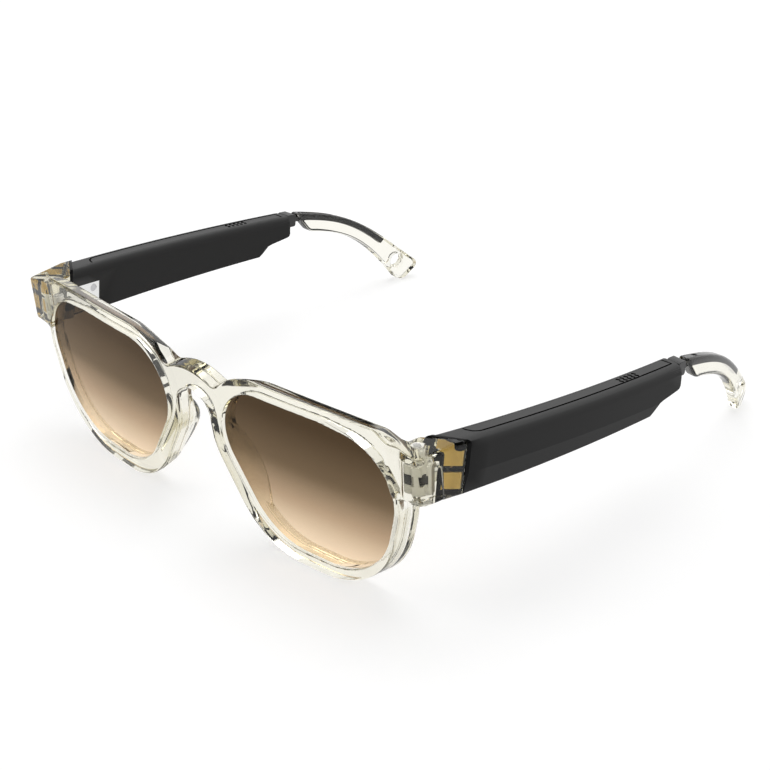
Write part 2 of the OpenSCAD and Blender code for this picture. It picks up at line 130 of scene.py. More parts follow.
def floor_strip(tree, middle, half_wide):
    """1 on a strip of the floor that runs from side to side."""
    where = add_node(tree, "ShaderNodeTexCoord")
    back = add_node(tree, "ShaderNodeSeparateXYZ")
    within = add_node(tree, "ShaderNodeMath", {1: middle, 2: half_wide}, operation="COMPARE")
    wire(tree, (where, "Object", back, "Vector"), (back, "Y", within, 0))
    return within, 0


def floor_wedge(tree, start, turn, half_wide):
    """1 on a wedge of the floor that opens from one point in one direction."""
    ahead = (math.cos(turn), math.sin(turn), 0)
    where = add_node(tree, "ShaderNodeTexCoord")
    out = add_node(tree, "ShaderNodeVectorMath", {1: start}, operation="SUBTRACT")
    way = add_node(tree, "ShaderNodeVectorMath", operation="NORMALIZE")
    along = add_node(tree, "ShaderNodeVectorMath", {1: ahead}, operation="DOT_PRODUCT")
    within = add_node(tree, "ShaderNodeMath", {1: math.cos(half_wide)}, operation="GREATER_THAN")
    wire(
        tree, (where, "Object", out, 0), (out, "Vector", way, 0), (way, "Vector", along, 0),
        (along, "Value", within, 0),
    )
    return within, 0


room_light, seen_light = 0.45, 1.0
scene.world = bpy.data.worlds.new("studio")
scene.world.use_nodes = True
room_tree = scene.world.node_tree
backdrop = room_tree.nodes["Background"]
backdrop.inputs["Color"].default_value = (1, 1, 1, 1)
room_level = add_node(
    room_tree, "ShaderNodeMapRange", {"To Min": room_light, "To Max": seen_light}
)
wire(
    room_tree, (*seen_directly(room_tree), room_level, "Value"),
    (room_level, "Result", backdrop, "Strength"),
)

floor_half = 3.0
floor_lift, far_lift = 0.56, 0.775
lift_from, lift_to = 0.3, 1.6
strip_middle, strip_half, strip_least = -0.066, 0.019, 0.044
wedge_start, wedge_least = (0.03, -0.065, 0), 0.11
wedge_turn, wedge_half = math.radians(128.5), math.radians(16)
floor_mesh = bpy.data.meshes.new("floor")
floor_corners = ((-1, -1), (1, -1), (1, 1), (-1, 1))
floor_mesh.from_pydata(
    [(x * floor_half, y * floor_half, 0) for x, y in floor_corners], [], [(0, 1, 2, 3)]
)
floor = in_scene("floor", floor_mesh)
paper, paper_tree, paper_face = plain_material("white_paper", {
    "Base Color": (0.5, 0.5, 0.5, 1), "Roughness": 0.9, "Specular IOR Level": 0.0,
    "Emission Color": (1, 1, 1, 1),
})
paper_where = add_node(paper_tree, "ShaderNodeTexCoord")
paper_away = add_node(paper_tree, "ShaderNodeVectorMath", operation="LENGTH")
paper_lift = add_node(paper_tree, "ShaderNodeMapRange", {
    "From Min": lift_from, "From Max": lift_to, "To Min": floor_lift, "To Max": far_lift,
})
paper_glow = add_node(paper_tree, "ShaderNodeMath", operation="MULTIPLY")
painted_reflection_black = add_node(paper_tree, "ShaderNodeEmission", {"Color": (0.01, 0.01, 0.01, 1)})
paper_dark = add_node(paper_tree, "ShaderNodeMixShader")
painted_dark_fields = add_node(paper_tree, "ShaderNodeMath", operation="MAXIMUM")
wire(
    paper_tree, (paper_where, "Object", paper_away, 0), (paper_away, "Value", paper_lift, "Value"),
    (*seen_directly(paper_tree), paper_glow, 0), (paper_lift, "Result", paper_glow, 1),
    (paper_glow, 0, paper_face, "Emission Strength"), (painted_dark_fields, 0, paper_dark, "Fac"),
    (paper_face, "BSDF", paper_dark, 1), (painted_reflection_black, "Emission", paper_dark, 2),
    (paper_dark, "Shader", paper_tree.nodes["Material Output"], "Surface"),
)
# Painted dark reflection: a strip and a wedge of the floor turn black only for rays through or off
# the clear plastic.
for number, (field, rays) in enumerate((
    (floor_strip(paper_tree, strip_middle, strip_half),
     seen_from_afar(paper_tree, "Is Transmission Ray", strip_least)),
    (floor_wedge(paper_tree, wedge_start, wedge_turn, wedge_half),
     seen_from_afar(paper_tree, "Is Glossy Ray", wedge_least)),
)):
    dark = add_node(paper_tree, "ShaderNodeMath", operation="MULTIPLY")
    wire(paper_tree, (*field, dark, 0), (*rays, dark, 1), (dark, 0, painted_dark_fields, number))
floor_mesh.materials.append(paper)

for lamp_name, lamp_at, lamp_size, lamp_power in (
    ("softbox_top", (-0.15, 0.15, 0.95), 0.9, 6.0),
    ("softbox_front", (-0.75, -0.75, 0.7), 0.6, 2.0),
):
    lamp_data = bpy.data.lights.new(lamp_name, "AREA")
    lamp_data.size = lamp_size
    lamp_data.energy = lamp_power
    lamp = in_scene(lamp_name, lamp_data)
    lamp.location = lamp_at
    lamp.rotation_euler = (-Vector(lamp_at)).to_track_quat("-Z", "Y").to_euler()

black_cloth = plain_material("black_flag", {
    "Base Color": (0.004, 0.004, 0.004, 1), "Roughness": 1.0, "Specular IOR Level": 0.0,
})[0]
flag_far, flag_sides = 1.0, 16
flag_fields = ((30, 46, 1, 50), (46, 118, 40, 59), (118, 133, 40, 50))
for number, (turn_from, turn_to, rise_from, rise_to) in enumerate(flag_fields):
    flag_turns = [math.radians(a) for a in np.linspace(turn_from, turn_to, flag_sides + 1)]
    flag_heights = [flag_far * math.tan(math.radians(a)) for a in (rise_from, rise_to)]
    flag_mesh = bpy.data.meshes.new("flag_" + str(number))
    flag_line = [(flag_far * math.cos(a), flag_far * math.sin(a)) for a in flag_turns]
    flag_mesh.from_pydata(
        [(x, y, z) for z in flag_heights for x, y in flag_line], [],
        [(i, i + 1, flag_sides + i + 2, flag_sides + i + 1) for i in range(flag_sides)],
    )
    flag_mesh.materials.append(black_cloth)
    flag = in_scene(flag_mesh.name, flag_mesh)
    flag.visible_camera = False
    flag.visible_diffuse = False
    flag.visible_shadow = False

# Clear front: both rims, bridge, brow and the deep lugs at the ends are one moulding of clear
# plastic, milled and tumbled to a polish, with the two nose pads moulded on behind.
# Its shape is a field of distances in the plane of the front: u across, d back, v up, in mm.
MM = 0.001
lean = math.radians(11.4)
tilt = math.radians(7.1507)
face_radius = 480.0
front_depth = 4.8
lens_across, lens_up = 35.35, 1.55
lens_circles = ((11.0, 4.2, 14.3), (-12.3, 5.8, 13.0), (5.0, 0.0, 19.1), (-2.1, -0.9, 18.2))
hull_steps = 7200
nowhere = -1e9


def hull_of_circles(circles):
    """Arcs (x, y, r, start, sweep) and tangent lines (nx, ny, reach) of the line around circles."""
    turn = np.linspace(0, 2 * np.pi, hull_steps, endpoint=False)
    reach = np.array([x * np.cos(turn) + y * np.sin(turn) + r for x, y, r in circles])
    outer = reach.argmax(axis=0)
    changes = np.flatnonzero(outer != np.roll(outer, 1))
    arcs, lines = [], []
    for start, stop in zip(changes, np.roll(changes, -1)):
        sweep = (turn[stop] - turn[start]) % (2 * np.pi)
        arcs.append((*circles[outer[start]], turn[start], sweep))
        lines.append((math.cos(turn[start]), math.sin(turn[start]), reach[outer[start], start]))
    return arcs, lines


lens_arcs, lens_lines = hull_of_circles(lens_circles)


def lens_outline(x, y):
    """Distance from the edge of a lens opening, about the middle of the lens."""
    far = np.full(np.broadcast(x, y).shape, nowhere)
    for cx, cy, r, start, sweep in lens_arcs:
        on_arc = (np.arctan2(y - cy, x - cx) - start) % (2 * np.pi) <= sweep
        far = np.maximum(far, np.where(on_arc, np.hypot(x - cx, y - cy) - r, nowhere))
    for nx, ny, reach in lens_lines:
        far = np.maximum(far, nx * x + ny * y - reach)
    return far


def soft_max(a, b, soft):
    """Both shapes at once, with a rounded edge where they meet."""
    near = np.maximum(soft - np.abs(a - b), 0)
    return np.maximum(a, b) + near * near / (4 * soft)


def soft_min(a, b, soft):
    """Either shape, with a hollow fillet where they meet."""
    return -soft_max(-a, -b, soft)


def fillet(a, b, r):
    """Either shape, with a round fillet of radius r in the corner."""
    return np.maximum(r, np.minimum(a, b)) - np.hypot(np.maximum(r - a, 0), np.maximum(r - b, 0))


def box_edge(x, low, high):
    """Distance from a span between two limits."""
    return np.maximum(low - x, x - high)


joint_across, joint_back = 69.85, 14.0
splay = math.radians(6.5)
mitre = math.radians(40.6)
arm_thick, arm_top, arm_floor = 7.0, 22.3, 9.6
hinge_low, hinge_high = 10.5, 17.5
hinge_middle = (hinge_low + hinge_high) / 2
pin_inward = 0.9
pin_along = -arm_thick / math.cos(mitre) - pin_inward
cut_ahead, cut_close = 0.2, 0.2


def front_to_temple(u, d, v):
    """From the leaning plane of the front to the upright frame of one temple."""
    x = u - joint_across
    y = d * math.cos(lean) - v * math.sin(lean) - joint_back
    z = d * math.sin(lean) + v * math.cos(lean)
    return x * math.cos(splay) - y * math.sin(splay), x * math.sin(splay) + y * math.cos(splay), z


def temple_to_cut(x, y):
    """From the temple frame to the slanted cut between lug and temple."""
    y = y + cut_ahead
    return x * math.cos(mitre) + y * math.sin(mitre), -x * math.sin(mitre) + y * math.cos(mitre)


def cut_to_pin(m, n, z):
    """From the cut to the hinge, whose pin stands upright on the table."""
    m, z = m - pin_along, z - hinge_middle
    back = mitre - splay
    east = m * math.cos(back) - n * math.sin(back)
    north = m * math.sin(back) + n * math.cos(back)
    north, z = (
        north * math.cos(tilt) + z * math.sin(tilt), -north * math.sin(tilt) + z * math.cos(tilt)
    )
    m = east * math.cos(back) + north * math.sin(back)
    n = -east * math.sin(back) + north * math.cos(back)
    return m + pin_along, n, z + hinge_middle


draw_share, draw_from, draw_over = 0.05, 10, 11
rim_width, rim_shift, rim_top = 3.55, 0.35, 24.55
brow_rounds = ((23.05, 10.55, 13.6), (56.05, 19.35, 5.2))
brow_corners = ((23.05, 24.15), (56.05, 24.55), (61.25, 19.35), (55.35, 0.0), (23.05, 0.0))
brow_middle = (lens_across, 0, math.radians(26))
brow_outer = (joint_across - 13.2, math.radians(24), math.radians(24))
brow_inner = (lens_across - 14.8, math.radians(-17), math.radians(29))
inner_from, inner_off = 8.1, -9.0
arch_half, arch_low, arch_up, arch_radius = 11.05, 8.0, 1.65, 18.0
keyhole_up, keyhole_radius = 8.0, 6.2
lug_across, lug_up, lug_inner = (55.85, 69.15), (8.9, 21.6), -8.4
lug_rise_from, lug_rise, lug_rise_over, lug_rise_share = -3, 2.2, 15, 0.989
lug_front = 0.05
knuckle_clear, knuckle_span = 1.85, (6.6, 18.4)
pad_middle, pad_half, pad_deep, pad_share = -3.0, 11.0, 4.0, 0.85
pad_off_lens, pad_front, pad_reach = 0.5, 1.2, 20.0
lug_hollow, arch_hollow, corner_hollow = 1.6, 2.2, 1.0
plate_edge, brow_edge, inner_edge, keyhole_edge, opening_edge = 0.45, 0.4, 0.8, 0.6, 0.25
lug_edge, lug_cut_edge, lug_front_edge = 1.0, 0.3, 0.9
pad_lens_edge, pad_edge, pad_melt = 1.2, 2.2, 0.6


def brow_plane(u, d, v, at, turn, fall):
    """Height above a brow top that falls to the back and turns down to one end."""
    swing = math.asin(at / face_radius)
    nx, ny = math.sin(turn) * math.cos(fall), math.sin(fall)
    nz = math.cos(turn) * math.cos(fall)
    nx, ny = (
        nx * math.cos(swing) - ny * math.sin(swing), nx * math.sin(swing) + ny * math.cos(swing)
    )
    return nx * (u - at) + ny * (d - at * at / (2 * face_radius)) + nz * (v - rim_top)


def front_field(u, d, v):
    """Distance from the skin of the clear front; below 0 inside the plastic."""
    u = np.abs(u)
    deep = face_radius - np.hypot(u, face_radius - d)
    drawn_in = 1 - draw_share * (draw_from - d) / draw_over
    e = u / drawn_in
    rim = lens_outline(e - lens_across + rim_shift, v - lens_up) - rim_width
    brow = np.minimum(*[np.hypot(e - x, v - y) - r for x, y, r in brow_rounds])
    slab = None
    for (ax, ay), (bx, by) in zip(brow_corners, brow_corners[1:] + brow_corners[:1]):
        length = math.hypot(bx - ax, by - ay)
        side = ((e - ax) * (ay - by) + (v - ay) * (bx - ax)) / length
        slab = side if slab is None else np.maximum(slab, side)
    brow = np.minimum(brow, slab)
    ends = np.maximum(box_edge(e, *lug_across), box_edge(v, *lug_up))
    arch = np.maximum(e - arch_half, arch_low - v)
    arch = np.maximum(arch, np.hypot(e, v - arch_up) - arch_radius)
    outline = fillet(fillet(np.minimum(rim, brow), ends, lug_hollow), arch, arch_hollow)
    keyhole = np.where(v > keyhole_up, np.hypot(e, v - keyhole_up), e) - keyhole_radius
    outline = soft_max(outline, -keyhole, keyhole_edge)
    plate = soft_max(soft_max(outline, -deep, plate_edge), deep - front_depth, plate_edge)
    plate = soft_max(plate, brow_plane(u, d, v, *brow_middle), brow_edge)
    plate = soft_max(plate, brow_plane(u, d, v, *brow_outer), brow_edge)
    inner = np.where(u > inner_from, brow_plane(u, d, v, *brow_inner), inner_off)
    plate = soft_max(plate, inner, inner_edge)
    x, y, z = front_to_temple(u, d, v)
    m, n = temple_to_cut(x, y)
    rise = (z - arm_top - (y - lug_rise_from) * lug_rise / lug_rise_over) * lug_rise_share
    lug_top = np.maximum(z - arm_top, rise)
    lug = soft_max(box_edge(x, lug_inner, 0), lug_top, lug_edge)
    lug = soft_max(lug, arm_floor - z, lug_edge)
    lug = soft_max(soft_max(lug, n - cut_close, lug_cut_edge), lug_front - deep, lug_front_edge)
    body = fillet(plate, lug, corner_hollow)
    opening = lens_outline(u - lens_across, v - lens_up)
    body = soft_max(body, -opening, opening_edge)
    pm, pn, pz = cut_to_pin(m, n, z)
    knuckle_room = np.hypot(pm - pin_along, pn) - knuckle_clear
    knuckle_room = np.maximum(knuckle_room, box_edge(pz, *knuckle_span))
    body = soft_max(body, -knuckle_room, opening_edge)
    along_pad = (v - pad_middle) / pad_half
    pad_back = (deep - front_depth - pad_deep * (1 - along_pad * along_pad)) * pad_share
    pad = soft_max(soft_max(outline, pad_off_lens - opening, pad_lens_edge), pad_back, pad_edge)
    pad = soft_max(np.maximum(pad, pad_front - deep), u - pad_reach, pad_edge)
    return soft_min(body, pad, pad_melt)


skin_slabs, skin_pulls = 24, 3
slope_step, slope_least = 0.02, 0.2


def skin(field, low, high, cell):
    """Net of quads on the zero level of a field, drawn onto it, with the field's own normals."""
    axes = [np.arange(a, b + cell, cell) for a, b in zip(low, high)]
    grid = np.concatenate([
        field(*np.meshgrid(part, axes[1], axes[2], indexing="ij"))
        for part in np.array_split(axes[0], skin_slabs)
    ])
    inside = grid < 0
    corners = [(i, j, k) for i in (0, 1) for j in (0, 1) for k in (0, 1)]
    size = np.array(grid.shape) - 1
    at = lambda block, c: block[c[0]:c[0] + size[0], c[1]:c[1] + size[1], c[2]:c[2] + size[2]]
    count = sum(at(inside, c).astype(np.int8) for c in corners)
    cells = np.argwhere((count > 0) & (count < len(corners)))
    number = np.full(size, -1)
    number[tuple(cells.T)] = np.arange(len(cells))
    value = {c: grid[tuple((cells + c).T)] for c in corners}
    middle, crossed = np.zeros((len(cells), 3)), np.zeros(len(cells))
    for a in corners:
        for axis in range(3):
            if a[axis]:
                continue
            b = tuple(1 if i == axis else a[i] for i in range(3))
            crosses = (value[a] < 0) != (value[b] < 0)
            along = np.where(crosses, value[a] / np.where(crosses, value[a] - value[b], 1), 0)
            point = np.repeat(np.array([a], float), len(cells), axis=0)
            point[:, axis] += along
            middle += point * crosses[:, None]
            crossed += crosses
    spots = np.array([axis[0] for axis in axes]) + (cells + middle / crossed[:, None]) * cell
    quads = []
    for axis in range(3):
        first, second = (axis + 1) % 3, (axis + 2) % 3
        here = [slice(1, -1)] * 3
        here[axis] = slice(0, -1)
        there = list(here)
        there[axis] = slice(1, None)
        starts, ends = inside[tuple(here)], inside[tuple(there)]
        for leaving in (True, False):
            edges = np.argwhere((starts != ends) & (starts == leaving))
            edges[:, first] += 1
            edges[:, second] += 1
            ring = []
            for i, j in ((-1, -1), (0, -1), (0, 0), (-1, 0)):
                near = edges.copy()
                near[:, first] += i
                near[:, second] += j
                ring.append(number[tuple(near.T)])
            quads.append(np.stack(ring if leaving else ring[::-1], axis=1))
    quads = np.concatenate(quads)

    def slope(p):
        """Gradient of the field at some points."""
        steps = slope_step * np.eye(3)
        return np.stack([
            (field(*(p + s).T) - field(*(p - s).T)) / (2 * slope_step) for s in steps
        ], axis=1)

    for _ in range(skin_pulls):
        grade = slope(spots)
        move = field(*spots.T) / np.maximum((grade * grade).sum(axis=1), slope_least)
        spots = spots - np.clip(move, -cell / 2, cell / 2)[:, None] * grade
    grade = slope(spots)
    return spots, quads, grade / np.linalg.norm(grade, axis=1)[:, None]


rest_back, rest_lift = -68.4, 20.9889
to_front = Matrix.Translation((0, rest_back * MM, rest_lift * MM)) @ Matrix.Rotation(-tilt, 4, "X")
front_place = to_front @ Matrix.Rotation(lean, 4, "X") @ Matrix.Scale(MM, 4)


def placed_mesh(name, spots, faces, normals, place):
    """Smooth mesh whose place and size are in its points."""
    place = np.array(place)
    points = spots @ place[:3, :3].T + place[:3, 3]
    mesh = bpy.data.meshes.new(name)
    mesh.from_pydata(points.tolist(), [], faces.tolist())
    mesh.shade_smooth()
    turned = normals @ place[:3, :3].T
    turned = turned / np.linalg.norm(turned, axis=1)[:, None]
    if np.linalg.det(place[:3, :3]) < 0:
        mesh.flip_normals()
    mesh.normals_split_custom_set_from_vertices(turned.tolist())
    return in_scene(name, mesh)


def new_group(name, kind, inputs, outputs):
    """Node group with named sockets, its entry and exit, and the identifiers of its inputs."""
    group = bpy.data.node_groups.new(name, kind + "NodeTree")
    labels = {}
    for way, sockets in (("INPUT", inputs), ("OUTPUT", outputs)):
        for label, value in sockets.items():
            socket = group.interface.new_socket(label, in_out=way, socket_type="NodeSocket" + value)
            if way == "INPUT":
                labels[label] = socket.identifier
    return group, add_node(group, "NodeGroupInput"), add_node(group, "NodeGroupOutput"), labels


def add_group(tree, group, **values):
    """A shader group in a material, with its inputs set."""
    return add_node(tree, "ShaderNodeGroup", values, node_tree=group)


def polish_group():
    """Fine tumbling marks of polished clear plastic, as a roughness."""
    group, entry, leave, _ = new_group(
        "tumbled_polish", "Shader", {"Scale": "Float", "Smooth": "Float", "Rough": "Float"},
        {"Roughness": "Float"},
    )
    where = add_node(group, "ShaderNodeTexCoord")
    marks = add_node(group, "ShaderNodeTexNoise", {"Detail": 3})
    spread = add_node(group, "ShaderNodeMapRange", {"From Min": 0.35, "From Max": 0.75})
    wire(
        group, (where, "Object", marks, "Vector"), (entry, "Scale", marks, "Scale"),
        (marks, "Fac", spread, "Value"), (entry, "Smooth", spread, "To Min"),
        (entry, "Rough", spread, "To Max"), (spread, "Result", leave, "Roughness"),
    )
    return group


tumbled_polish = polish_group()
clear_plastic, clear_tree, clear_face = plain_material("clear_plastic", {
    "Base Color": (1, 1, 1, 1), "Transmission Weight": 1.0, "IOR": 1.49,
    "Specular Tint": (0.4, 0.4, 0.4, 1),
})
clear_polish = add_group(clear_tree, tumbled_polish, Scale=900, Smooth=0.0, Rough=0.03)
clear_body = add_node(clear_tree, "ShaderNodeVolumeAbsorption", {
    "Color": (0.75, 0.71, 0.51, 1), "Density": 100,
})
wire(
    clear_tree, (clear_polish, "Roughness", clear_face, "Roughness"),
    (clear_body, "Volume", clear_tree.nodes["Material Output"], "Volume"),
)

front_cell = 0.31
front_low, front_high = (-71.5, -1.0, -22.5), (71.5, 19.5, 26.0)
front_skin = skin(front_field, front_low, front_high, front_cell)
front = placed_mesh("clear_front", *front_skin, front_place)
front.data.materials.append(clear_plastic)
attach(front, "front")
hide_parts("front_frame", "nose_pad_left", "nose_pad_right")

# Lenses: two curved sheets of tinted plastic, cut to the openings, with a blunt ground edge that
# snaps in behind the rims. The tint fades from dark brown above to pale peach below.
lens_profile = ((0.8, -0.12), (1.8, -0.03), (2.8, -0.12))
lens_points, lens_rings, lens_core = 240, 20, 0.04
lens_crease = math.radians(40)
sides = {"left": 1, "right": -1}


def lens_sheet(name, side):
    """Curved sheet whose edge is ground to a blunt V, from the front face round to the back."""
    turns = np.linspace(0, 2 * np.pi, lens_points, endpoint=False)
    ways = np.stack([np.cos(turns), np.sin(turns)], axis=1)
    circles = [max(lens_circles, key=lambda c: c[0] * x + c[1] * y + c[2]) for x, y in ways]
    edge = np.array([(x, y) for x, y, r in circles]) + ways * np.array([[r] for x, y, r in circles])
    loops = [(lens_profile[0], share) for share in np.linspace(lens_core, 1, lens_rings)]
    loops += [(lens_profile[1], 1.0)]
    loops += [(lens_profile[2], share) for share in np.linspace(1, lens_core, lens_rings)]
    spots = []
    for (depth, seat), share in loops:
        u, v = ((edge + seat * ways) * share).T + np.array([[lens_across], [lens_up]])
        d = face_radius - np.sqrt((face_radius - depth) ** 2 - u * u)
        spots.append(np.stack([u, d, v], axis=1))
    spots = np.concatenate(spots)
    spots[:, 0] *= side
    faces = []
    for near in range(0, (len(loops) - 1) * lens_points, lens_points):
        far = near + lens_points
        for i in range(lens_points):
            j = (i + 1) % lens_points
            faces.append([near + i, near + j, far + j, far + i])
    mesh = bpy.data.meshes.new(name)
    place = np.array(front_place)
    mesh.from_pydata((spots @ place[:3, :3].T + place[:3, 3]).tolist(), [], faces)
    shape = bmesh.new()
    shape.from_mesh(mesh)
    bmesh.ops.holes_fill(shape, edges=[e for e in shape.edges if e.is_boundary], sides=0)
    bmesh.ops.recalc_face_normals(shape, faces=shape.faces)
    shape.to_mesh(mesh)
    shape.free()
    mesh.shade_smooth()
    mesh.set_sharp_from_angle(angle=lens_crease)
    return in_scene(name, mesh)


tint_stops = (
    (0.0, (1.0, 0.97, 0.75)), (0.18, (0.98, 0.78, 0.56)), (0.45, (0.48, 0.345, 0.222)),
    (0.68, (0.163, 0.111, 0.063)), (1.0, (0.070, 0.043, 0.021)),
)
tinted_lens, tint_tree, tint_face = plain_material("tinted_lens", {
    "Transmission Weight": 1.0, "IOR": 1.12, "Specular Tint": (0.4, 0.4, 0.4, 1),
})
tint_polish = add_group(tint_tree, tumbled_polish, Scale=700, Smooth=0.0, Rough=0.004)
tint_where = add_node(tint_tree, "ShaderNodeTexCoord")
tint_turn = add_node(tint_tree, "ShaderNodeMapping", {"Rotation": (tilt - lean, 0, 0)})
tint_height = add_node(tint_tree, "ShaderNodeSeparateXYZ")
lens_low, lens_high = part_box("lens_left")[0][2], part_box("lens_left")[1][2]
tint_span = add_node(tint_tree, "ShaderNodeMapRange", {"From Min": lens_low, "From Max": lens_high})
tint_ramp = add_node(tint_tree, "ShaderNodeValToRGB")
while len(tint_ramp.color_ramp.elements) < len(tint_stops):
    tint_ramp.color_ramp.elements.new(0.5)
for stop, (stop_at, stop_colour) in zip(tint_ramp.color_ramp.elements, tint_stops):
    stop.position = stop_at
    stop.color = (*stop_colour, 1)
wire(
    tint_tree, (tint_polish, "Roughness", tint_face, "Roughness"),
    (tint_where, "Object", tint_turn, "Vector"), (tint_turn, "Vector", tint_height, "Vector"),
    (tint_height, "Z", tint_span, "Value"), (tint_span, "Result", tint_ramp, "Fac"),
    (tint_ramp, "Color", tint_face, "Base Color"),
)

for side_name, side in sides.items():
    sheet = lens_sheet("lens_sheet_" + side_name, side)
    sheet.data.materials.append(tinted_lens)
    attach(sheet, "front")
    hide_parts("lens_" + side_name)

# Hinges: a bright steel block with two knuckles is pressed into each lug, a plate with a tongue is
# screwed into the temple, and an upright pin runs through them. All are milled, edges broken.
weld_reach = 2e-6
flat_within, crease = math.radians(0.5), math.radians(30)
edge_steps = 2


def finished_copy(side_name, node, name, material, body, edge, reshape=None):
    """The CAD solid with its edges broken and its faces smooth, in a finished material."""
    node, name = node + "_" + side_name, name + "_" + side_name
    shape = bmesh.new()
    shape.from_mesh(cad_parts[node].data)
    bmesh.ops.remove_doubles(shape, verts=shape.verts, dist=weld_reach)
    if reshape:
        reshape(shape)
    bmesh.ops.dissolve_limit(
        shape, angle_limit=flat_within, verts=shape.verts, edges=shape.edges, delimit={"NORMAL"}
    )
    mesh = bpy.data.meshes.new(name)
    shape.to_mesh(mesh)
    shape.free()
    mesh.materials.append(material)
    mesh.shade_smooth()
    mesh.set_sharp_from_angle(angle=crease)
    piece = in_scene(name, mesh)
    if edge > 0:
        round_off = piece.modifiers.new("broken_edges", "BEVEL")
        round_off.width = edge * MM
        round_off.segments = edge_steps
        round_off.limit_method = "ANGLE"
        round_off.angle_limit = crease
    else:
        piece.modifiers.new("flat_faces", "WEIGHTED_NORMAL").keep_sharp = True
    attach(piece, body)
    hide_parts(node)
    return piece


def finish_group(name, scale_kind):
    """Group of a finish with two shades and two roughnesses, which a share between them mixes."""
    group, entry, leave, _ = new_group(name, "Shader", {
        "Scale": scale_kind, "Light": "Color", "Dark": "Color", "Smooth": "Float", "Rough": "Float",
    }, {"Color": "Color", "Roughness": "Float", "Height": "Float"})

    def shades(*share):
        """Mixes both pairs by a share, the output of a node."""
        shade = add_node(group, "ShaderNodeMix", data_type="RGBA")
        spread = add_node(group, "ShaderNodeMapRange")
        wire(
            group, (*share, shade, "Factor"), (entry, "Dark", shade, 6), (entry, "Light", shade, 7),
            (*share, spread, "Value"), (entry, "Smooth", spread, "To Min"),
            (entry, "Rough", spread, "To Max"), (shade, 2, leave, "Color"),
            (spread, "Result", leave, "Roughness"),
        )

    return group, entry, leave, shades


def brushed_group():
    """Brushed metal: streaks along one direction, as a shade, a roughness and a height."""
    group, entry, leave, shades = finish_group("brushed_metal", "Vector")
    where = add_node(group, "ShaderNodeTexCoord")
    stretch = add_node(group, "ShaderNodeVectorMath", operation="MULTIPLY")
    streaks = add_node(group, "ShaderNodeTexNoise", {"Scale": 1.0, "Detail": 4})
    wire(
        group, (where, "Object", stretch, 0), (entry, "Scale", stretch, 1),
        (stretch, "Vector", streaks, "Vector"), (streaks, "Fac", leave, "Height"),
    )
    shades(streaks, "Fac")
    return group


def dressed_face(tree, face, group, shades, roughs, scale, strength, distance):
    """A finish on a shader: its shade, its roughness and its height as a bump."""
    (light, dark), (smooth, rough) = shades, roughs
    look = add_group(
        tree, group, Scale=scale, Light=(*light, 1), Dark=(*dark, 1), Smooth=smooth, Rough=rough
    )
    bump = add_node(tree, "ShaderNodeBump", {"Strength": strength, "Distance": distance})
    wire(
        tree, (look, "Color", face, "Base Color"), (look, "Roughness", face, "Roughness"),
        (look, "Height", bump, "Height"), (bump, "Normal", face, "Normal"),
    )
    return look


brushed_metal = brushed_group()
streak_strength, streak_deep = 0.15, 0.00002


def metal_material(name, light, dark, roughs, streak, metallic=1.0):
    """Brushed or tumbled metal with its streaks stretched along the object's axes."""
    material, tree, face = plain_material(name, {"Metallic": metallic})
    dressed_face(
        tree, face, brushed_metal, (light, dark), roughs, streak, streak_strength, streak_deep
    )
    return material


hinge_steel = metal_material(
    "hinge_steel", (0.86, 0.86, 0.85), (0.66, 0.66, 0.66), (0.06, 0.2), (400, 400, 9000)
)
leaf_steel = metal_material(
    "leaf_steel", (0.92, 0.92, 0.91), (0.82, 0.82, 0.81), (0.4, 0.55), (2500, 2500, 2500),
    metallic=0.4,
)
pin_steel = metal_material(
    "pin_steel", (0.62, 0.62, 0.63), (0.42, 0.42, 0.43), (0.2, 0.4), (3000, 3000, 3000)
)
# Near black steel for the tongue by the pin: painted shade in the slot of the hinge.
tongue_painted_shade = metal_material(
    "tongue_painted_shade", (0.06, 0.06, 0.06), (0.03, 0.03, 0.03), (0.35, 0.5), (3000, 3000, 3000)
)
left_arm = (
    to_front @ Matrix.Scale(MM, 4) @ Matrix.Translation((joint_across, joint_back, 0))
    @ Matrix.Rotation(-splay, 4, "Z")
)
arms = {
    side_name: Matrix.Diagonal((side, 1, 1, 1)) @ left_arm for side_name, side in sides.items()
}
block_end, block_cut = -7.5, 1.9
painted_shade_reach = 2.3
leaf_edge, pin_edge, screw_edge = 0.12, 0.08, 0.05


def short_block(arm):
    """Reshapes a lug block: its end in the lug is milled back, so that the cap shows beside it."""
    to_arm = arm.inverted()

    def reshape(shape):
        for vertex in shape.verts:
            spot = to_arm @ vertex.co
            if temple_to_cut(spot.x, spot.y)[0] > block_end:
                spot.x -= block_cut * math.cos(mitre)
                spot.y -= block_cut * math.sin(mitre)
                vertex.co = arm @ spot

    return reshape


for side_name, arm in arms.items():
    temple = "temple_" + side_name
    finished_copy(
        side_name, "hinge_front_leaf", "lug_knuckles", leaf_steel, "front",
        leaf_edge, short_block(arm),
    )
    finished_copy(side_name, "hinge_pin", "pivot_pin", pin_steel, "front", pin_edge)
    plate = finished_copy(
        side_name, "hinge_temple_leaf", "temple_plate", hinge_steel, temple,
        leaf_edge,
    )
    # Faces of the plate near the pin get the near black steel, as painted shade in the hinge slot.
    plate.data.materials.append(tongue_painted_shade)
    pin_low, pin_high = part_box("hinge_pin_" + side_name)
    for face in plate.data.polygons:
        away = [face.center[i] - (pin_low[i] + pin_high[i]) / 2 for i in (0, 1)]
        face.material_index = int(math.hypot(*away) < painted_shade_reach * MM)
    finished_copy(
        side_name, "leaf_screws", "plate_screws", pin_steel, temple, screw_edge
    )

# Temple housings: hollow black mouldings with a fine spark-eroded grain, soft top edges and a
# lower outer face that draws in. A strip with sound slots is let into the top.


